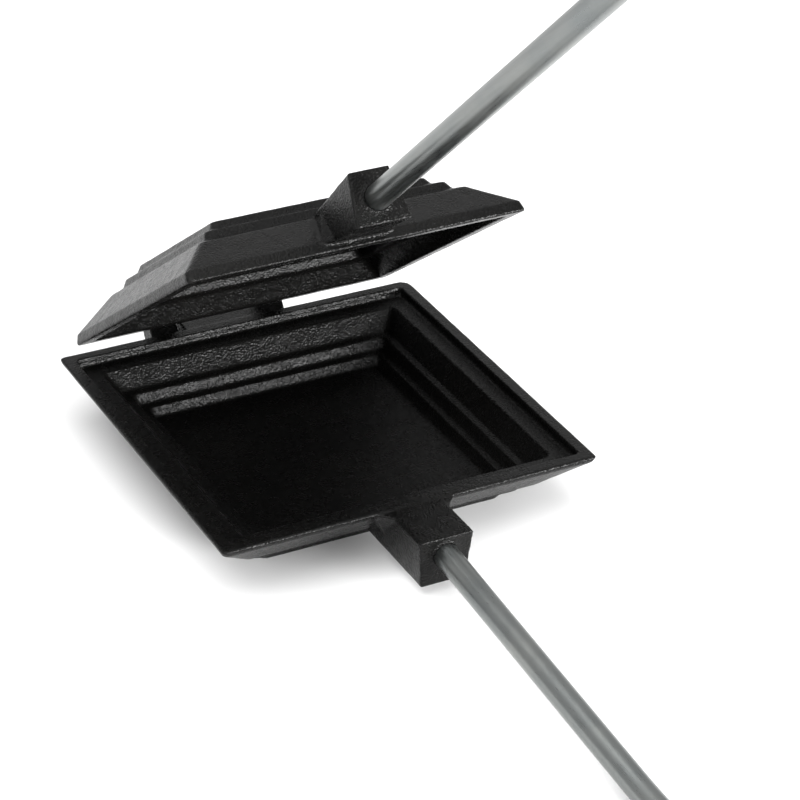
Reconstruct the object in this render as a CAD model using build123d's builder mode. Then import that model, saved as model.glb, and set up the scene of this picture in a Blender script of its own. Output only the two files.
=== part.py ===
from build123d import *
import math
import os

# Square pie iron: two hinged cast pans on long rods with wooden grips.
# Millimetres, +Z up.  X runs along the hinge, the handles point towards -Y.
# Origin: centre of the lower pan's flat underside, which stands on z = 0.

# ---- driving dimensions -------------------------------------------------
rim_z = 18.0              # lower pan, floor to rim plane
lower_half_w = 54.7       # lower pan is 109.4 square
upper_half_w = 48.6       # lid pan is 97.2 wide and sits inside the lower flange
lid_shift = -0.9          # the lid sits this far off centre on its pin
upper_front = -49.0       # lid pan front edge, closed
upper_back = 47.8         # lid pan hinge edge, closed
rim_gap = 0.35            # lid rim above the lower step, closed
step_z = 15.5             # level of the step the lid rim rests over
open_deg = 36.7           # how far the lid stands open in the stored pose

hinge_x = -3.5            # middle of the hinge
hinge_y = 57.8
hinge_z = 8.0
barrel_r = 4.4
pin_r = 2.5
knuckle_half = 12.2       # lower knuckle, half width
arm_in = 12.6             # lid arms, from the middle of the hinge
arm_out = 20.9

rod_r = 3.4
fit = 0.03                # radial play of pieces fixed in each other
lower_tilt = 4.75         # rods leave their bosses at these angles
upper_tilt = 6.0
lower_axis_z = 13.6       # rod axis height at the lower pan's front edge
upper_axis_h = 7.6        # rod axis above the lid's rim plane at its front edge
boss_len = 16.5

grip_front_y = -522.0     # where both grips begin, closed
grip_len = 124.0
latch_t = 60.0            # latch screw, measured along the grip

# (height, inset from the rim edge, corner radius), rim plane first
lower_out = [(rim_z, 0.4, 0.9), (17.6, 0.0, 1.3), (16.3, 0.5, 1.4), (6.2, 10.9, 2.2), (5.7, 13.2, 2.6),
             (3.4, 14.2, 3.0), (2.9, 16.2, 3.6), (0.0, 17.7, 4.2)]
lower_in = [(18.5, 3.7, 1.0), (step_z, 3.9, 1.0), (step_z, 8.9, 1.4), (10.3, 13.0, 1.6),
            (10.0, 15.3, 1.6), (7.1, 16.4, 1.6), (6.8, 18.7, 1.6), (4.0, 19.8, 1.6)]
upper_out = [(0.0, 0.4, 0.9), (0.4, 0.0, 1.3), (3.0, 0.6, 1.4), (10.8, 10.0, 1.8), (11.3, 12.5, 1.8),
             (13.7, 13.7, 1.8), (14.2, 16.3, 1.8), (16.3, 17.5, 1.8)]
upper_in = [(-0.5, 3.6, 1.4), (5.6, 8.6, 1.6), (6.0, 11.1, 1.6), (8.6, 12.3, 1.6),
            (9.0, 14.8, 1.6), (12.2, 16.0, 1.6)]
back_corner = 2.2         # extra radius of the lower pan's corner at +X, +Y

# ---- the lid's own frame in the stored, open pose -----------------------
th = math.radians(open_deg)
lid_rim_z = step_z + rim_gap                 # lid rim plane, closed
ry = 0.0 - hinge_y
rz = lid_rim_z - hinge_z
lid = Plane(
    origin=(lid_shift, hinge_y + ry * math.cos(th) + rz * math.sin(th),
            hinge_z - ry * math.sin(th) + rz * math.cos(th)),
    x_dir=(1, 0, 0),
    z_dir=(0, math.sin(th), math.cos(th)),
)


def side(base, x):
    """Plane whose local axes are the base's y and z, at distance x along the base's x."""
    return Plane(origin=base.from_local_coords((x, 0, 0)), x_dir=base.y_dir, z_dir=base.x_dir)


def world(base, y, z, x=0.0):
    return base.from_local_coords((x, y, z))


def direction(base, y, z):
    a = base.from_local_coords((0, y, z))
    b = base.from_local_coords((0, 0, 0))
    return Vector(a) - Vector(b)


def lower_section(half, radius, extra=0.0):
    """Square with rounded corners, the one at +X, +Y rounder by extra."""
    with BuildSketch(mode=Mode.PRIVATE) as section:
        Rectangle(2 * half, 2 * half)
        corners = section.vertices().sort_by(lambda v: v.X + v.Y)
        fillet(corners[:3], radius)
        fillet(section.vertices().sort_by(lambda v: v.X + v.Y)[-1], radius + extra)
    return section.sketch


def shrink(outline, y0, scale):
    """The mirrored outline drawn in towards (0, y0)."""
    pts = [(x * scale, y0 + (y - y0) * scale) for x, y in outline]
    return pts + [(-x, y) for x, y in reversed(pts)]


ground = Plane.XY
tl = math.tan(math.radians(lower_tilt))
tu = math.tan(math.radians(upper_tilt))
cl, sl = math.cos(math.radians(lower_tilt)), math.sin(math.radians(lower_tilt))
cu, su = math.cos(math.radians(upper_tilt)), math.sin(math.radians(upper_tilt))

# ---- rod and grip axes, in each half's own (y, z) -----------------------
lower_bend_y = -172.0
lower_bend_z = lower_axis_z - (-lower_half_w - lower_bend_y) * tl
lower_rise = math.radians(1.36)
upper_bend_y = -212.0
upper_bend_h = upper_axis_h + (upper_front - upper_bend_y) * tu
upper_rise = math.radians(0.70)


def lower_axis(y):
    return lower_bend_z + (lower_bend_y - y) * math.tan(lower_rise)


def upper_axis(y):
    return upper_bend_h + (upper_bend_y - y) * math.tan(upper_rise)


# ---- lower pan ----------------------------------------------------------
with BuildPart() as lower_pan:
    for (z0, s0, r0), (z1, s1, r1) in zip(lower_out[:-1], lower_out[1:]):
        with BuildSketch(Plane.XY.offset(z0)):
            add(lower_section(lower_half_w - s0, r0, back_corner))
        with BuildSketch(Plane.XY.offset(z1)):
            add(lower_section(lower_half_w - s1, r1, back_corner))
        loft(ruled=True)
    # square boss that takes the rod, level on top and tapering downwards
    face_y = -lower_half_w - boss_len
    face_z = lower_axis_z - boss_len * tl
    lower_face = Plane(origin=(0, face_y, face_z), x_dir=(1, 0, 0), z_dir=(0, -cl, -sl))
    with BuildSketch(lower_face) as boss:
        Polygon((-7.8, 5.5), (7.8, 5.5), (6.5, -9.05), (-6.5, -9.05), align=None)
        fillet(boss.vertices(), 0.6)
    extrude(amount=33.0, dir=(0, 1, 0))
    # the boss widens where it leaves the wall
    root = [(6.7, -60.7), (8.8, -57.4), (9.9, -56.1), (11.6, -lower_half_w), (11.6, -44.0)]
    with BuildSketch(Plane.XY.offset(17.5)):
        Polygon(*shrink(root, -44.0, 1.0), align=None)
    with BuildSketch(Plane.XY.offset(8.0)):
        Polygon(*shrink(root, -44.0, 0.58), align=None)
    loft(ruled=True)
    # hinge knuckle behind the rim, with its raised tongue
    with BuildSketch(side(ground, hinge_x - knuckle_half)):
        Polygon((42.0, 3.6), (57.8, 3.6), (62.15, 8.6), (62.6, 16.3), (61.4, 17.4),
                (50.9, 17.4), (42.0, 9.0), align=None)
        with Locations((hinge_y, hinge_z)):
            Circle(barrel_r)
    extrude(amount=2 * knuckle_half)
    # stepped cavity
    for (z0, s0, r0), (z1, s1, r1) in zip(lower_in[:-1], lower_in[1:]):
        if abs(z0 - z1) < 1e-6:
            continue
        with BuildSketch(Plane.XY.offset(z0)):
            RectangleRounded(2 * (lower_half_w - s0), 2 * (lower_half_w - s0), r0)
        with BuildSketch(Plane.XY.offset(z1)):
            RectangleRounded(2 * (lower_half_w - s1), 2 * (lower_half_w - s1), r1)
        loft(ruled=True, mode=Mode.SUBTRACT)
    # rod socket, with a shallow countersink at its mouth
    with BuildSketch(lower_face):
        Circle(rod_r + fit)
    extrude(amount=-14.2, mode=Mode.SUBTRACT)
    with BuildSketch(lower_face):
        Circle(rod_r + 0.45)
    extrude(amount=-0.4, taper=35, mode=Mode.SUBTRACT)
    # pin hole
    with BuildSketch(side(ground, hinge_x - 30)):
        with Locations((hinge_y, hinge_z)):
            Circle(pin_r + fit)
    extrude(amount=60, mode=Mode.SUBTRACT)

# ---- lid pan ------------------------------------------------------------
mid_y = (upper_front + upper_back) / 2
half_y = (upper_back - upper_front) / 2
with BuildPart() as upper_pan:
    for (z0, s0, r0), (z1, s1, r1) in zip(upper_out[:-1], upper_out[1:]):
        with BuildSketch(lid.offset(z0)):
            with Locations((0, mid_y)):
                RectangleRounded(2 * (upper_half_w - s0), 2 * (half_y - s0), r0)
        with BuildSketch(lid.offset(z1)):
            with Locations((0, mid_y)):
                RectangleRounded(2 * (upper_half_w - s1), 2 * (half_y - s1), r1)
        loft(ruled=True)
    # square boss, tapering and falling away from the lid's rim plane
    ub_y = upper_front - boss_len
    ub_h = upper_axis_h + boss_len * tu
    upper_face = Plane(origin=world(lid, ub_y, ub_h), x_dir=(1, 0, 0),
                       z_dir=direction(lid, -cu, su))
    upper_root = Plane(origin=world(lid, -36.3, 0.0), x_dir=(1, 0, 0),
                       z_dir=direction(lid, -1.0, 0.0))
    with BuildSketch(upper_face):
        Polygon((-8.0, -7.3), (8.0, -7.3), (5.7, 7.75), (-5.7, 7.75), align=None)
    with BuildSketch(upper_root):
        Polygon((-8.0, 2.07), (8.0, 2.07), (6.62, 11.07), (-6.62, 11.07), align=None)
    loft(ruled=True)
    # the boss widens where it leaves the wall
    root = [(6.5, -53.6), (8.4, -51.0), (9.3, -49.9), (10.6, upper_front + 0.6), (10.6, -38.0)]
    with BuildSketch(lid.offset(2.6)):
        Polygon(*shrink(root, -38.0, 1.0), align=None)
    with BuildSketch(lid.offset(11.2)):
        Polygon(*shrink(root, -38.0, 0.6), align=None)
    loft(ruled=True)
    # its mating side runs level, clear of the lower rim
    with BuildSketch(side(lid, -14.0)):
        Polygon((-72.0, 2.6), (upper_front - 0.05, 2.6), (upper_front - 0.05, 0.0), (-30.0, 0.0),
                (-30.0, -6.0), (-72.0, -6.0), align=None)
    extrude(amount=28.0, mode=Mode.SUBTRACT)
    # two hinge arms that reach over the lower rim and down to the pin
    for x0 in (hinge_x - lid_shift - arm_out, hinge_x - lid_shift + arm_in):
        with BuildSketch(side(lid, x0)):
            Polygon((44.6, 2.8), (55.2, 2.8), (55.2, -4.9), (57.8, -7.85), (62.15, -7.3),
                    (61.3, 1.7), (58.2, 5.2), (38.8, 9.0), align=None)
            with Locations((hinge_y, hinge_z - lid_rim_z)):
                Circle(barrel_r)
        extrude(amount=arm_out - arm_in)
    # stepped cavity
    for (z0, s0, r0), (z1, s1, r1) in zip(upper_in[:-1], upper_in[1:]):
        with BuildSketch(lid.offset(z0)):
            with Locations((0, mid_y)):
                RectangleRounded(2 * (upper_half_w - s0), 2 * (half_y - s0), r0)
        with BuildSketch(lid.offset(z1)):
            with Locations((0, mid_y)):
                RectangleRounded(2 * (upper_half_w - s1), 2 * (half_y - s1), r1)
        loft(ruled=True, mode=Mode.SUBTRACT)
    with BuildSketch(upper_face):
        Circle(rod_r + fit)
    extrude(amount=-14.2, mode=Mode.SUBTRACT)
    with BuildSketch(upper_face):
        Circle(rod_r + 0.45)
    extrude(amount=-0.4, taper=35, mode=Mode.SUBTRACT)
    with BuildSketch(side(lid, hinge_x - 30)):
        with Locations((hinge_y, hinge_z - lid_rim_z)):
            Circle(pin_r + 0.08)
    extrude(amount=60, mode=Mode.SUBTRACT)

# ---- hinge pin: a rivet with two low domed heads ------------------------
pin_end = arm_out + 2.3
with BuildPart() as hinge_pin:
    with BuildSketch(Plane(origin=(hinge_x, hinge_y, hinge_z), x_dir=(1, 0, 0), z_dir=(0, 0, 1))):
        with BuildLine():
            Polyline((-pin_end, 0), (-pin_end, 1.6), (0.5 - pin_end, 2.9), (1.3 - pin_end, 3.7),
                     (1.9 - pin_end, 3.8), (1.9 - pin_end, pin_r), (pin_end - 1.9, pin_r),
                     (pin_end - 1.9, 3.8), (pin_end - 1.3, 3.7), (pin_end - 0.5, 2.9),
                     (pin_end, 1.6), (pin_end, 0), (-pin_end, 0))
        make_face()
    revolve(axis=Axis((hinge_x, hinge_y, hinge_z), (1, 0, 0)))

# ---- rods ---------------------------------------------------------------
rod_end_t = 106.0         # how far the rods run into the grips
pin_t = 26.0              # cross pin, measured along the grip
pin_hole = 1.55


def along(base, axis_fn, rise, t):
    """Point on a grip axis t behind the grip's front end."""
    y = grip_front_y - t * math.cos(rise)
    return y, axis_fn(y)


with BuildPart() as lower_rod:
    y_end, z_end = along(ground, lower_axis, lower_rise, rod_end_t)
    y_in = -57.2
    with BuildLine(side(ground, 0)) as lower_path:
        FilletPolyline((y_in, lower_axis_z - (-lower_half_w - y_in) * tl),
                       (lower_bend_y, lower_bend_z), (y_end, z_end), radius=160)
    with BuildSketch(Plane(origin=lower_path.line @ 0, z_dir=lower_path.line % 0)):
        Circle(rod_r)
    sweep(path=lower_path.line)
    py, pz = along(ground, lower_axis, lower_rise, pin_t)
    with BuildSketch(side(ground, -10)):
        with Locations((py, pz)):
            Circle(pin_hole)
    extrude(amount=20, mode=Mode.SUBTRACT)

with BuildPart() as upper_rod:
    y_end, z_end = along(lid, upper_axis, upper_rise, rod_end_t)
    y_in = -52.2
    with BuildLine(side(lid, 0)) as upper_path:
        FilletPolyline((y_in, upper_axis_h + (upper_front - y_in) * tu),
                       (upper_bend_y, upper_bend_h), (y_end, z_end), radius=160)
    with BuildSketch(Plane(origin=upper_path.line @ 0, z_dir=upper_path.line % 0)):
        Circle(rod_r)
    sweep(path=upper_path.line)
    py, pz = along(lid, upper_axis, upper_rise, pin_t)
    with BuildSketch(side(lid, -10)):
        with Locations((py, pz)):
            Circle(pin_hole)
    extrude(amount=20, mode=Mode.SUBTRACT)


# ---- turned grips, ferrules and cross pins ------------------------------
def grip_plane(base, axis_fn, rise):
    """Local x runs backwards along the grip axis, z is the base's x."""
    d = direction(base, -math.cos(rise), math.sin(rise))
    return Plane(origin=world(base, grip_front_y, axis_fn(grip_front_y)), x_dir=d, z_dir=base.x_dir)


lower_gp = grip_plane(ground, lower_axis, lower_rise)
upper_gp = grip_plane(lid, upper_axis, upper_rise)
tenon_r = 9.0
tenon_len = 9.0
grip_profile = [(9.0, 10.4), (14.0, 11.4), (26.0, 12.4), (45.0, 12.9), (64.0, 12.5), (84.0, 11.6),
                (98.0, 11.5), (109.0, 12.4), (116.0, 12.6), (121.0, 11.2)]

with BuildPart() as lower_grip:
    with BuildSketch(lower_gp):
        with BuildLine():
            Polyline((grip_len, 0), (0, 0), (0, tenon_r), (tenon_len, tenon_r), grip_profile[0])
            Spline(*grip_profile)
            Spline(grip_profile[-1], (123.2, 7.5), (grip_len, 0), tangents=[(1, -0.75), (0, -1)])
        make_face()
    revolve(axis=Axis(lower_gp.origin, lower_gp.x_dir))
    with BuildSketch(Plane(origin=lower_gp.origin, x_dir=(1, 0, 0), z_dir=lower_gp.x_dir)):
        Circle(rod_r + fit)
    extrude(amount=rod_end_t + 1.5, mode=Mode.SUBTRACT)
    with BuildSketch(lower_gp.offset(-20)):
        with Locations((pin_t, 0)):
            Circle(pin_hole)
    extrude(amount=40, mode=Mode.SUBTRACT)
    # pilot hole of the catch screw
    with BuildSketch(lower_gp.offset(5.0)):
        with Locations((latch_t, 0)):
            Circle(1.75 + fit)
    extrude(amount=20, mode=Mode.SUBTRACT)

with BuildPart() as upper_grip:
    with BuildSketch(upper_gp):
        with BuildLine():
            Polyline((grip_len, 0), (0, 0), (0, tenon_r), (tenon_len, tenon_r), grip_profile[0])
            Spline(*grip_profile)
            Spline(grip_profile[-1], (123.2, 7.5), (grip_len, 0), tangents=[(1, -0.75), (0, -1)])
        make_face()
    revolve(axis=Axis(upper_gp.origin, upper_gp.x_dir))
    with BuildSketch(Plane(origin=upper_gp.origin, x_dir=(1, 0, 0), z_dir=upper_gp.x_dir)):
        Circle(rod_r + fit)
    extrude(amount=rod_end_t + 1.5, mode=Mode.SUBTRACT)
    with BuildSketch(upper_gp.offset(-20)):
        with Locations((pin_t, 0)):
            Circle(pin_hole)
    extrude(amount=40, mode=Mode.SUBTRACT)
    # flat seat for the latch spacer, and the screw's pilot hole
    with BuildSketch(upper_gp.offset(11.4)):
        with Locations((latch_t, 0)):
            Circle(5.2)
    extrude(amount=10, mode=Mode.SUBTRACT)
    with BuildSketch(upper_gp.offset(5.0)):
        with Locations((latch_t, 0)):
            Circle(1.75 + fit)
    extrude(amount=20, mode=Mode.SUBTRACT)

with BuildPart() as lower_ferrule:
    with BuildSketch(lower_gp):
        with BuildLine():
            Polyline((-1.4, rod_r + fit), (-1.4, 7.6), (-0.6, 9.0), (0.6, 9.9), (2.0, 10.2),
                     (7.4, 10.2), (7.9, 10.5), (8.6, 10.5), (8.8, 10.2), (8.8, tenon_r + fit),
                     (-0.03, tenon_r + fit), (-0.03, rod_r + fit), (-1.4, rod_r + fit))
        make_face()
    revolve(axis=Axis(lower_gp.origin, lower_gp.x_dir))

with BuildPart() as upper_ferrule:
    with BuildSketch(upper_gp):
        with BuildLine():
            Polyline((-1.4, rod_r + fit), (-1.4, 7.6), (-0.6, 9.0), (0.6, 9.9), (2.0, 10.2),
                     (7.4, 10.2), (7.9, 10.5), (8.6, 10.5), (8.8, 10.2), (8.8, tenon_r + fit),
                     (-0.03, tenon_r + fit), (-0.03, rod_r + fit), (-1.4, rod_r + fit))
        make_face()
    revolve(axis=Axis(upper_gp.origin, upper_gp.x_dir))

with BuildPart() as lower_grip_pin:
    with BuildSketch(lower_gp.offset(-12.6)):
        with Locations((pin_t, 0)):
            Circle(pin_hole - 0.02)
    extrude(amount=25.2)
    fillet(lower_grip_pin.edges().filter_by(GeomType.CIRCLE), 0.4)

with BuildPart() as upper_grip_pin:
    with BuildSketch(upper_gp.offset(-12.6)):
        with Locations((pin_t, 0)):
            Circle(pin_hole - 0.02)
    extrude(amount=25.2)
    fillet(upper_grip_pin.edges().filter_by(GeomType.CIRCLE), 0.4)

# ---- latch --------------------------------------------------------------
plate_in = 13.7           # inner face of the hook plate, from the grip axis
plate_out = 15.3
screw_pt = upper_gp.from_local_coords((latch_t, 0, 0))          # stored pose
catch_pt = lower_gp.from_local_coords((latch_t, 0, 0))
# the same screw centre with the lid closed, to get the distance to the catch
cy = Vector(screw_pt).Y - hinge_y
cz = Vector(screw_pt).Z - hinge_z
closed_y = hinge_y + cy * math.cos(th) - cz * math.sin(th)
closed_z = hinge_z + cy * math.sin(th) + cz * math.cos(th)
reach_y = Vector(catch_pt).Y - closed_y
reach_z = Vector(catch_pt).Z - closed_z
reach = math.hypot(reach_y, reach_z)
# hook frame: local y points from the catch to the screw, the hook hangs down
hook = Plane(origin=(0, Vector(screw_pt).Y, Vector(screw_pt).Z), x_dir=(0, 1, 0), z_dir=(1, 0, 0))

with BuildPart() as latch_hook:
    with BuildSketch(hook.offset(plate_in)) as plate:
        Circle(6.0)
        Polygon((-4.6, 0), (4.6, 0), (4.6, -reach - 1.0), (-4.6, -reach - 1.0), align=None)
        with Locations((0, -reach)):
            Circle(6.4)
        Polygon((-6.3, -reach - 1.0), (6.3, -reach - 1.0), (2.4, -reach - 11.5), (-2.4, -reach - 11.5),
                align=None)
        with Locations((0, -reach - 11.0)):
            Circle(2.6)
    extrude(amount=plate_out - plate_in)
    with BuildSketch(hook.offset(plate_in - 1)):
        Circle(2.0 + 0.08)
        with Locations((0, -reach)):
            Circle(2.4)
        Polygon((0, -reach + 2.4), (-12, -reach + 3.0), (-12, -reach - 1.9), (0, -reach - 2.4), align=None)
    extrude(amount=5, mode=Mode.SUBTRACT)

with BuildPart() as latch_washer:
    with BuildSketch(upper_gp.offset(11.4)):
        with Locations((latch_t, 0)):
            Circle(4.6)
            Circle(2.0 + fit, mode=Mode.SUBTRACT)
    extrude(amount=2.0 - lid_shift)

# pan head pivot screw: core in the wood, shoulder through spacer and hook
with BuildPart() as latch_screw:
    with BuildSketch(upper_gp.offset(5.4)):
        with Locations((latch_t, 0)):
            Circle(1.75)
    extrude(amount=6.0)
    with BuildSketch(upper_gp.offset(11.4)):
        with Locations((latch_t, 0)):
            Circle(2.0)
    extrude(amount=4.3 - lid_shift)
    with BuildSketch(upper_gp.offset(15.65 - lid_shift)):
        with Locations((latch_t, 0)):
            Circle(4.4)
    extrude(amount=2.3)
    fillet(latch_screw.edges().filter_by(GeomType.CIRCLE).sort_by(Axis.X)[-1], 1.3)
    with BuildSketch(upper_gp.offset(17.0 - lid_shift)):
        with Locations((latch_t, 0)):
            Rectangle(12, 1.1, rotation=25)
    extrude(amount=3, mode=Mode.SUBTRACT)

with BuildPart() as catch_screw:
    with BuildSketch(lower_gp.offset(5.4)):
        with Locations((latch_t, 0)):
            Circle(1.75)
    extrude(amount=10.3)
    with BuildSketch(lower_gp.offset(15.65)):
        with Locations((latch_t, 0)):
            Circle(4.4)
    extrude(amount=2.3)
    fillet(catch_screw.edges().filter_by(GeomType.CIRCLE).sort_by(Axis.X)[-1], 1.3)
    with BuildSketch(lower_gp.offset(17.0)):
        with Locations((latch_t, 0)):
            Rectangle(12, 1.1, rotation=-40)
    extrude(amount=3, mode=Mode.SUBTRACT)

# ---- labels and files ---------------------------------------------------
os.makedirs("parts", exist_ok=True)
lower_pan.part.label = "lower_pan"
upper_pan.part.label = "upper_pan"
hinge_pin.part.label = "hinge_pin"
lower_rod.part.label = "lower_rod"
upper_rod.part.label = "upper_rod"
lower_grip.part.label = "lower_grip"
upper_grip.part.label = "upper_grip"
lower_ferrule.part.label = "lower_ferrule"
upper_ferrule.part.label = "upper_ferrule"
lower_grip_pin.part.label = "lower_grip_pin"
upper_grip_pin.part.label = "upper_grip_pin"
latch_hook.part.label = "latch_hook"
latch_washer.part.label = "latch_washer"
latch_screw.part.label = "latch_screw"
catch_screw.part.label = "catch_screw"
export_step(lower_pan.part, "parts/lower_pan.step")
export_step(upper_pan.part, "parts/upper_pan.step")
export_step(hinge_pin.part, "parts/hinge_pin.step")
export_step(lower_rod.part, "parts/lower_rod.step")
export_step(upper_rod.part, "parts/upper_rod.step")
export_step(lower_grip.part, "parts/lower_grip.step")
export_step(upper_grip.part, "parts/upper_grip.step")
export_step(lower_ferrule.part, "parts/lower_ferrule.step")
export_step(upper_ferrule.part, "parts/upper_ferrule.step")
export_step(lower_grip_pin.part, "parts/lower_grip_pin.step")
export_step(upper_grip_pin.part, "parts/upper_grip_pin.step")
export_step(latch_hook.part, "parts/latch_hook.step")
export_step(latch_washer.part, "parts/latch_washer.step")
export_step(latch_screw.part, "parts/latch_screw.step")
export_step(catch_screw.part, "parts/catch_screw.step")

# centres, reach and envelope of the finished pieces
print("catch", [round(v, 3) for v in Vector(catch_pt)], "screw", [round(v, 3) for v in Vector(screw_pt)])
print("closed screw", round(closed_y, 3), round(closed_z, 3), "reach", round(reach, 3), round(reach_y, 3))
for p in (lower_pan, upper_pan, lower_rod, upper_rod, lower_grip, upper_grip, latch_hook):
    bb = p.part.bounding_box()
    print(p.part.label, [round(v, 2) for v in bb.min], [round(v, 2) for v in bb.max],
          round(p.part.volume / 1000, 2), len(p.part.solids()))
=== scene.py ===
import math

import bmesh
import bpy
from mathutils import Matrix, Vector


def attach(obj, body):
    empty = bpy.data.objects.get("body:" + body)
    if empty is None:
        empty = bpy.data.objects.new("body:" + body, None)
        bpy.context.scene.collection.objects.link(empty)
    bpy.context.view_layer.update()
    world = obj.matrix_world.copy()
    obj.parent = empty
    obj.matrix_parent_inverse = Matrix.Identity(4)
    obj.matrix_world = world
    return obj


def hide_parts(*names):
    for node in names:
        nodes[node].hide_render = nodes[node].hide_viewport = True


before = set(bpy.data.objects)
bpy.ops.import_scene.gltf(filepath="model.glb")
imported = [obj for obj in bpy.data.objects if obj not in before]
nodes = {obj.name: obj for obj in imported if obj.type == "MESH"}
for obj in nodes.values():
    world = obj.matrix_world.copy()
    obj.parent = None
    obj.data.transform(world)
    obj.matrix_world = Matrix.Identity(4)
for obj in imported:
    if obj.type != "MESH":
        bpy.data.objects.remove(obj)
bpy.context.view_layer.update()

MM = 0.001
scene = bpy.context.scene

# ---- the lid's own frame in the stored, open pose (mm, as the construction has it) ----
TH = math.radians(36.7)
HINGE = (57.8, 8.0)                      # y, z of the hinge axis
LID_RIM = 15.85                          # lid rim plane when closed
LID_X = -0.9                             # the lid sits this far off centre
_ry, _rz = -HINGE[0], LID_RIM - HINGE[1]
LID_O = (HINGE[0] + _ry * math.cos(TH) + _rz * math.sin(TH),
         HINGE[1] - _ry * math.sin(TH) + _rz * math.cos(TH))


def on_lid(x, y, h):
    """Lid coordinates (mm) to the row frame in metres."""
    return Vector((x + LID_X, LID_O[0] + y * math.cos(TH) + h * math.sin(TH),
                   LID_O[1] - y * math.sin(TH) + h * math.cos(TH))) * MM


def on_base(x, y, z):
    return Vector((x, y, z)) * MM


# ---- node material helpers ---------------------------------------------------------
class Mat:
    """Thin helper round a node tree: m.new("ShaderNodeX", key=value) and m.link(a, b)."""

    def __init__(self, name):
        self.m = bpy.data.materials.new(name)
        self.m.use_nodes = True
        self.t = self.m.node_tree
        self.t.nodes.clear()
        self.out = self.t.nodes.new("ShaderNodeOutputMaterial")
        self.bsdf = self.t.nodes.new("ShaderNodeBsdfPrincipled")
        self.t.links.new(self.bsdf.outputs[0], self.out.inputs[0])

    def new(self, kind, **values):
        n = self.t.nodes.new(kind)
        for k, v in values.items():
            if hasattr(n, k):
                setattr(n, k, v)
            else:
                n.inputs[k.replace("_", " ")].default_value = v
        return n

    def link(self, a, b):
        self.t.links.new(a, b)

    def coords(self, scale=(1, 1, 1), rot=(0, 0, 0)):
        tc = self.new("ShaderNodeTexCoord")
        mp = self.new("ShaderNodeMapping", vector_type="TEXTURE" if rot != (0, 0, 0) else "POINT")
        if rot != (0, 0, 0):
            mp.inputs["Rotation"].default_value = rot
            m2 = self.new("ShaderNodeMapping")
            m2.inputs["Scale"].default_value = scale
            self.link(tc.outputs["Object"], mp.inputs[0])
            self.link(mp.outputs[0], m2.inputs[0])
            return m2.outputs[0]
        mp.inputs["Scale"].default_value = scale
        self.link(tc.outputs["Object"], mp.inputs[0])
        return mp.outputs[0]

    def noise(self, vec, scale, detail=3.0, rough=0.5, distortion=0.0):
        n = self.new("ShaderNodeTexNoise")
        n.inputs["Scale"].default_value = scale
        n.inputs["Detail"].default_value = detail
        n.inputs["Roughness"].default_value = rough
        n.inputs["Distortion"].default_value = distortion
        self.link(vec, n.inputs["Vector"])
        return n.outputs["Fac"]

    def ramp(self, fac, *stops):
        r = self.new("ShaderNodeValToRGB")
        e = r.color_ramp.elements
        while len(e) < len(stops):
            e.new(0.5)
        for el, (p, c) in zip(e, stops):
            el.position = p
            el.color = (c[0], c[1], c[2], 1.0) if isinstance(c, tuple) else (c, c, c, 1.0)
        self.link(fac, r.inputs[0])
        return r.outputs[0]

    def math(self, op, a, b=None, clamp=False):
        n = self.new("ShaderNodeMath", operation=op, use_clamp=clamp)
        for i, v in enumerate((a, b)):
            if v is None:
                continue
            if isinstance(v, (int, float)):
                n.inputs[i].default_value = v
            else:
                self.link(v, n.inputs[i])
        return n.outputs[0]

    def span(self, fac, a0, a1, b0, b1):
        n = self.new("ShaderNodeMapRange")
        for k, v in zip(("From Min", "From Max", "To Min", "To Max"), (a0, a1, b0, b1)):
            n.inputs[k].default_value = v
        self.link(fac, n.inputs["Value"])
        return n.outputs[0]

    def mix(self, fac, a, b):
        n = self.new("ShaderNodeMix", data_type="RGBA")
        for sock, v in ((n.inputs[0], fac), (n.inputs[6], a), (n.inputs[7], b)):
            if isinstance(v, (int, float)):
                sock.default_value = v
            elif isinstance(v, tuple):
                sock.default_value = (*v, 1.0)
            else:
                self.link(v, sock)
        return n.outputs[2]

    def bump(self, height, distance, strength=1.0, normal=None):
        b = self.new("ShaderNodeBump")
        b.inputs["Strength"].default_value = strength
        b.inputs["Distance"].default_value = distance
        self.link(height, b.inputs["Height"])
        if normal is not None:
            self.link(normal, b.inputs["Normal"])
        return b.outputs[0]

    def set(self, **v):
        for k, val in v.items():
            s = self.bsdf.inputs[k.replace("_", " ")]
            if hasattr(val, "node"):
                self.link(val, s)
            else:
                s.default_value = (*val, 1.0) if isinstance(val, tuple) and len(val) == 3 else val


def iron_material():
    """Sand-cast iron under a baked-on oil seasoning: near black, glossy, finely pebbled."""
    m = Mat("seasoned_iron")
    v = m.coords()
    grain = m.noise(v, 2400.0, 1.0, 0.5)
    sand = m.new("ShaderNodeTexVoronoi", feature="SMOOTH_F1")
    sand.inputs["Scale"].default_value = 1900.0
    sand.inputs["Smoothness"].default_value = 0.25
    m.link(v, sand.inputs["Vector"])
    skin = m.noise(v, 300.0, 3.0, 0.5)
    broad = m.noise(v, 34.0, 3.0, 0.5)
    height = m.math("ADD", m.math("MULTIPLY", grain, 0.6), m.math("MULTIPLY", sand.outputs["Distance"], -0.6))
    n1 = m.bump(skin, 0.00010, 0.5)
    n2 = m.bump(height, 0.00024, 0.9, n1)
    base = m.mix(m.ramp(broad, (0.35, 0.0), (0.7, 1.0)), (0.0015, 0.0015, 0.0014), (0.0027, 0.0026, 0.0024))
    pits = m.ramp(sand.outputs["Distance"], (0.15, 1.0), (0.45, 0.0))
    base = m.mix(m.math("MULTIPLY", pits, 0.4), base, (0.0010, 0.0010, 0.0009))
    m.set(Base_Color=base,
          Roughness=m.math("ADD", m.span(skin, 0.3, 0.7, 0.20, 0.28), m.math("MULTIPLY", broad, 0.05)),
          Specular_IOR_Level=0.13, Normal=n2)
    return m.m


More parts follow.
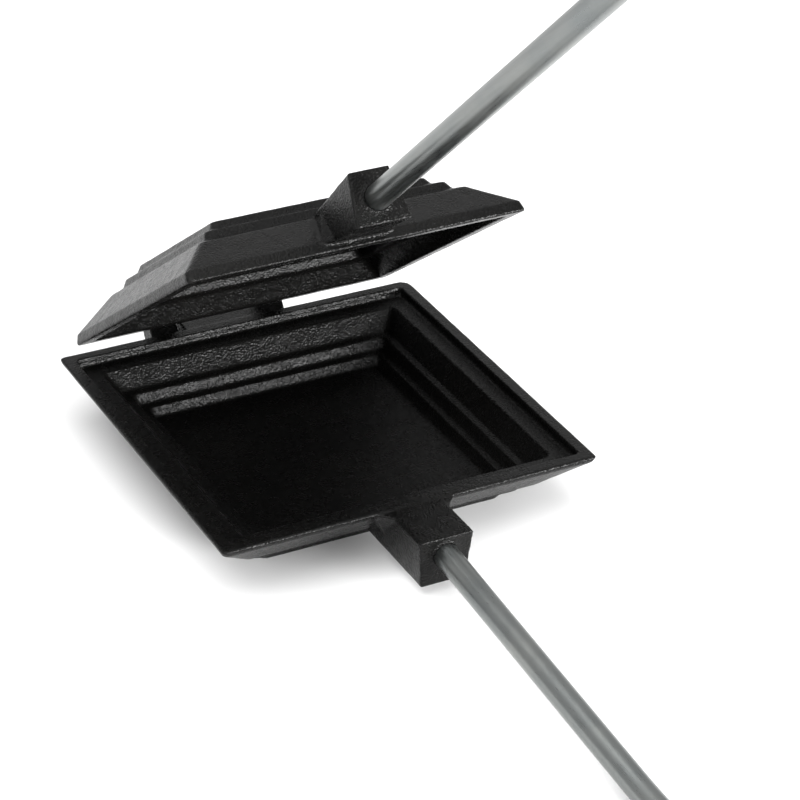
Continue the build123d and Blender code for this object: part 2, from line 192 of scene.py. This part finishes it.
def rod_material(name, tilt):
    """Zinc plated round bar: soft grey reflections, faint lines drawn along its length."""
    m = Mat(name)
    v = m.coords(scale=(1.0, 0.010, 1.0), rot=(tilt, 0, 0))
    draw = m.noise(v, 2200.0, 3.0, 0.55)
    wide = m.noise(v, 380.0, 2.0, 0.5)
    v2 = m.coords()
    cloud = m.noise(v2, 60.0, 3.0, 0.6)
    speck = m.noise(v2, 1100.0, 2.0, 0.5)
    base = m.mix(m.ramp(cloud, (0.3, 0.0), (0.7, 1.0)), (0.190, 0.203, 0.201), (0.242, 0.249, 0.240))
    base = m.mix(m.math("MULTIPLY", m.ramp(wide, (0.35, 0.0), (0.75, 1.0)), 0.35), base, (0.160, 0.173, 0.178))
    rough = m.math("ADD", m.span(draw, 0.3, 0.7, 0.25, 0.34), m.math("MULTIPLY", m.span(cloud, 0.3, 0.7, 0.0, 1.0), 0.04))
    n1 = m.bump(draw, 0.00002, 0.5)
    n2 = m.bump(speck, 0.00002, 0.2, n1)
    m.set(Base_Color=base, Metallic=1.0, Roughness=rough, Normal=n2)
    return m.m


def steel_material():
    """Bright steel hardware, brushed and a little stained."""
    m = Mat("bright_steel")
    v = m.coords()
    n = m.noise(v, 700.0, 4.0, 0.6)
    w = m.noise(v, 90.0, 2.0, 0.5)
    base = m.mix(w, (0.38, 0.38, 0.385), (0.52, 0.52, 0.52))
    m.set(Base_Color=base, Metallic=1.0, Roughness=m.span(n, 0.3, 0.7, 0.26, 0.42), Normal=m.bump(n, 0.00004, 0.4))
    return m.m


def wood_material(name, tilt):
    """Turned hardwood with the grain along the grip, under a thin clear varnish."""
    m = Mat(name)
    v = m.coords(scale=(1.0, 0.075, 1.0), rot=(tilt, 0, 0))
    figure = m.noise(v, 190.0, 5.0, 0.55, 0.6)
    fibre = m.noise(v, 1500.0, 3.0, 0.6)
    pore = m.new("ShaderNodeTexVoronoi", feature="F1")
    pore.inputs["Scale"].default_value = 1300.0
    m.link(v, pore.inputs["Vector"])
    pores = m.ramp(pore.outputs["Distance"], (0.08, 1.0), (0.2, 0.0))
    tone = m.ramp(figure, (0.28, (0.090, 0.036, 0.011)), (0.47, (0.165, 0.075, 0.024)),
                  (0.58, (0.215, 0.105, 0.037)), (0.72, (0.135, 0.057, 0.017)))
    tone = m.mix(m.math("MULTIPLY", m.ramp(fibre, (0.4, 0.0), (0.7, 1.0)), 0.35), tone, (0.100, 0.042, 0.014))
    tone = m.mix(m.math("MULTIPLY", pores, 0.5), tone, (0.045, 0.019, 0.007))
    n1 = m.bump(fibre, 0.00005, 0.35)
    n2 = m.bump(pores, -0.00004, 0.4, n1)
    m.set(Base_Color=tone, Roughness=m.span(fibre, 0.3, 0.7, 0.34, 0.48), Specular_IOR_Level=0.5,
          Coat_Weight=0.35, Coat_Roughness=0.18, Normal=n2)
    return m.m


IRON = iron_material()
ROD_L = rod_material("plated_rod_lower", math.radians(-2.0))
ROD_U = rod_material("plated_rod_upper", math.radians(-38.0))
STEEL = steel_material()
WOOD_L = wood_material("grip_wood_lower", math.radians(-1.4))
WOOD_U = wood_material("grip_wood_upper", math.radians(-37.4))


# ---- mesh helpers ------------------------------------------------------------------
def closed_copy(node):
    """The CAD node's mesh with its face seams merged, as a new mesh."""
    bm = bmesh.new()
    bm.from_mesh(nodes[node].data)
    bmesh.ops.remove_doubles(bm, verts=bm.verts, dist=2e-7)
    me = bpy.data.meshes.new(node + "_closed")
    bm.to_mesh(me)
    bm.free()
    return me


def evaluated(obj, name):
    """A new mesh with obj's modifiers applied; obj is removed."""
    dg = bpy.context.evaluated_depsgraph_get()
    dg.update()
    me = bpy.data.meshes.new_from_object(obj.evaluated_get(dg), preserve_all_data_layers=False, depsgraph=dg)
    me.name = name
    old = obj.data
    bpy.data.objects.remove(obj)
    bpy.data.meshes.remove(old)
    return me


def finish_piece(me, name, mat, body, stands_for):
    me.materials.clear()
    me.materials.append(mat)
    for p in me.polygons:
        p.material_index = 0
        p.use_smooth = True
    o = bpy.data.objects.new(name, me)
    scene.collection.objects.link(o)
    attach(o, body)
    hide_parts(*stands_for)
    return o


def peened_mouth(me, place, at, along, sides=48):
    """Adds a closed ring of iron, hammered down round the bar, that fills the socket's mouth."""
    bm = bmesh.new()
    bm.from_mesh(me)
    side = Vector((1, 0, 0))
    up = side.cross(along).normalized()
    rings = []
    for d, r in ((-1.2, 3.3), (-1.2, 4.4), (0.0, 4.4), (0.35, 3.3)):
        rings.append([])
        for k in range(sides):
            a = 2 * math.pi * k / sides
            q = at + along * d + side * (r * math.cos(a)) + up * (r * math.sin(a))
            rings[-1].append(bm.verts.new(place(*q)))
    new = []
    for a, b in zip(rings, rings[1:] + rings[:1]):
        for k in range(sides):
            new.append(bm.faces.new((a[k], a[(k + 1) % sides], b[(k + 1) % sides], b[k])))
    bmesh.ops.recalc_face_normals(bm, faces=new)
    bm.to_mesh(me)
    bm.free()


def cast_piece(node, name, body, voxel, keep, place, at, along):
    """A casting: the CAD form remeshed, its edges and inner corners rounded, its skin slightly uneven."""
    start = closed_copy(node)
    lo = [min(v.co[i] for v in start.vertices) for i in range(3)]
    hi = [max(v.co[i] for v in start.vertices) for i in range(3)]
    peened_mouth(start, place, Vector(at), Vector(along))
    tmp = bpy.data.objects.new(name + "_tmp", start)
    scene.collection.objects.link(tmp)
    r = tmp.modifiers.new("r", "REMESH")
    r.mode = "VOXEL"
    r.voxel_size = voxel
    s = tmp.modifiers.new("s", "SMOOTH")
    s.factor = 0.5
    s.iterations = 2
    tex = bpy.data.textures.new(name + "_skin", "CLOUDS")
    tex.noise_scale = 0.005
    tex.noise_depth = 2
    d = tmp.modifiers.new("d", "DISPLACE")
    d.texture = tex
    d.texture_coords = "LOCAL"
    d.mid_level = 0.55
    d.strength = 0.00012
    c = tmp.modifiers.new("c", "DECIMATE")
    c.ratio = keep
    me = evaluated(tmp, name)
    # nothing stands outside the casting's own box, so the flat underside stays flat
    for v in me.vertices:
        v.co = [min(max(v.co[i], lo[i]), hi[i]) for i in range(3)]
    return finish_piece(me, name, IRON, body, [node])


def tube(name, mat, body, node, place, path, radius, sides=56, chamfer=0.35):
    """A round bar along a path of (y, z) points in mm, with a small chamfer at both ends."""
    bm = bmesh.new()
    pts = [Vector((0, y, z)) for y, z in path]
    rings = []
    n = len(pts)
    for i, p in enumerate(pts):
        t = (pts[min(i + 1, n - 1)] - pts[max(i - 1, 0)]).normalized()
        side = Vector((1, 0, 0))
        up = side.cross(t).normalized()
        stations = [(Vector(), radius)]
        if i == 0:
            stations = [(Vector(), radius - chamfer), (t * chamfer, radius)]
        if i == n - 1:
            stations = [(-t * chamfer, radius), (Vector(), radius - chamfer)]
        for off, rr in stations:
            ring = []
            for k in range(sides):
                a = 2 * math.pi * k / sides
                q = p + off + side * (rr * math.cos(a)) + up * (rr * math.sin(a))
                ring.append(bm.verts.new(place(*q)))
            rings.append(ring)
    for a, b in zip(rings[:-1], rings[1:]):
        for k in range(sides):
            bm.faces.new((a[k], a[(k + 1) % sides], b[(k + 1) % sides], b[k]))
    bm.faces.new(rings[0][::-1])
    bm.faces.new(rings[-1])
    bmesh.ops.recalc_face_normals(bm, faces=bm.faces)
    me = bpy.data.meshes.new(name)
    bm.to_mesh(me)
    bm.free()
    o = finish_piece(me, name, mat, body, [node])
    me.set_sharp_from_angle(angle=math.radians(35))
    return o


def bent_path(p0, p1, p2, radius, steps=10, run=12):
    """(y, z) points from p0 round the bend at p1 to p2."""
    a, b, c = Vector(p0), Vector(p1), Vector(p2)
    u, w = (a - b).normalized(), (c - b).normalized()
    half = math.acos(max(-1.0, min(1.0, u.dot(w)))) / 2
    cut = radius / math.tan(half)
    s, e = b + u * cut, b + w * cut
    centre = b + (u + w).normalized() * (radius / math.sin(half))
    pts = [a.lerp(s, i / run) for i in range(run)]
    v0, v1 = s - centre, e - centre
    ang = v0.angle_signed(v1)
    for i in range(steps + 1):
        t = -ang * i / steps
        pts.append(centre + Vector((v0.x * math.cos(t) - v0.y * math.sin(t), v0.x * math.sin(t) + v0.y * math.cos(t))))
    pts += [e.lerp(c, i / run) for i in range(1, run + 1)]
    return [(p.x, p.y) for p in pts]


# ---- castings ----------------------------------------------------------------------
LT, UT = math.radians(4.75), math.radians(6.0)
cast_piece("lower_pan", "casting_lower", "lower_half", 0.00040, 0.32, on_base,
           (0, -71.2, 13.6 - 16.5 * math.tan(LT)), (0, -math.cos(LT), -math.sin(LT)))
cast_piece("upper_pan", "casting_upper", "upper_half", 0.00040, 0.32, on_lid,
           (0, -65.5, 7.6 + 16.5 * math.tan(UT)), (0, -math.cos(UT), math.sin(UT)))

# ---- rods: straight out of their sockets, then one slight bend ---------------------
LR, UR = math.radians(1.36), math.radians(0.70)
lb = (-172.0, 13.6 - (-54.7 + 172.0) * math.tan(LT))
ub = (-212.0, 7.6 + (-49.0 + 212.0) * math.tan(UT))
ly_end = -522.0 - 106.0 * math.cos(LR)
uy_end = -522.0 - 106.0 * math.cos(UR)
lower_path = bent_path((-57.2, 13.6 - (-54.7 + 57.2) * math.tan(LT)), lb,
                       (ly_end, lb[1] + (lb[0] - ly_end) * math.tan(LR)), 160.0)
upper_path = bent_path((-52.2, 7.6 + (-49.0 + 52.2) * math.tan(UT)), ub,
                       (uy_end, ub[1] + (ub[0] - uy_end) * math.tan(UR)), 160.0)
tube("bar_lower", ROD_L, "lower_half", "lower_rod", on_base, lower_path, 3.4)
tube("bar_upper", ROD_U, "upper_half", "upper_rod", on_lid, upper_path, 3.4)

# ---- CAD nodes that stay, with their finishes --------------------------------------
FINISH = {
    "hinge_pin": STEEL, "lower_ferrule": STEEL, "upper_ferrule": STEEL,
    "lower_grip_pin": STEEL, "upper_grip_pin": STEEL, "latch_hook": STEEL,
    "latch_screw": STEEL, "latch_washer": STEEL, "catch_screw": STEEL,
    "lower_grip": WOOD_L, "upper_grip": WOOD_U,
}
for n, mat in FINISH.items():
    me = nodes[n].data
    for i in range(len(me.materials)):
        me.materials[i] = mat

# ---- floor, light, camera ----------------------------------------------------------
fm = Mat("floor_paper")
fm.set(Base_Color=(0.86, 0.86, 0.86), Roughness=0.9, Specular_IOR_Level=0.1)
bm = bmesh.new()
bmesh.ops.create_grid(bm, x_segments=8, y_segments=8, size=5.0)
fme = bpy.data.meshes.new("floor")
bm.to_mesh(fme)
bm.free()
floor = bpy.data.objects.new("floor", fme)
fme.materials.append(fm.m)
floor.location = (0, 0, -0.00005)
scene.collection.objects.link(floor)

world = bpy.data.worlds.new("studio")
scene.world = world
world.use_nodes = True
world.node_tree.nodes["Background"].inputs[0].default_value = (1.0, 1.0, 1.0, 1.0)
world.node_tree.nodes["Background"].inputs[1].default_value = 0.78


def softbox(name, at, target, size, watts, colour=(1, 1, 1)):
    ld = bpy.data.lights.new(name, "AREA")
    ld.shape = "RECTANGLE"
    ld.size, ld.size_y = size
    ld.energy = watts
    ld.color = colour
    o = bpy.data.objects.new(name, ld)
    o.location = at
    o.rotation_mode = "QUATERNION"
    o.rotation_quaternion = (Vector(target) - Vector(at)).to_track_quat("-Z", "Y")
    scene.collection.objects.link(o)
    return o


softbox("overhead", (-0.35, -0.20, 1.55), (0.0, -0.10, 0.0), (1.9, 1.7), 27.0)
softbox("left_box", (-1.15, -0.75, 0.55), (0.0, 0.0, 0.0), (0.9, 0.6), 4.0)
softbox("front_low", (0.55, -1.2, 0.20), (0.0, 0.0, 0.05), (0.7, 0.26), 52.0)

# camera fitted to the picture: azimuth, elevation and roll in radians, distance in metres
AZ, EL, ROLL, DIST = -0.497673, 0.533234, 0.030380, 0.801038
F_PX, CX, CY = 2944.927, 322.028, 405.694
back = Vector((math.sin(AZ) * math.cos(EL), -math.cos(AZ) * math.cos(EL), math.sin(EL)))
fwd = -back
right = fwd.cross(Vector((0, 0, 1))).normalized()
up = right.cross(fwd)
r2 = right * math.cos(ROLL) + up * math.sin(ROLL)
u2 = up * math.cos(ROLL) - right * math.sin(ROLL)
target = Vector((0, 0, 0.018))
ox, oy = (CX - 400.0) / F_PX * DIST, -(CY - 400.0) / F_PX * DIST
cam = bpy.data.cameras.new("camera")
cam.lens = F_PX * 36.0 / 800.0
cam.sensor_width = 36.0
cam.clip_start, cam.clip_end = 0.01, 50.0
cam_o = bpy.data.objects.new("camera", cam)
cam_o.matrix_world = Matrix.Translation(target - (r2 * ox + u2 * oy + fwd * DIST)) @ Matrix(
    ((r2.x, u2.x, -fwd.x), (r2.y, u2.y, -fwd.y), (r2.z, u2.z, -fwd.z))).to_4x4()
scene.collection.objects.link(cam_o)
scene.camera = cam_o
scene.view_settings.view_transform = "Standard"
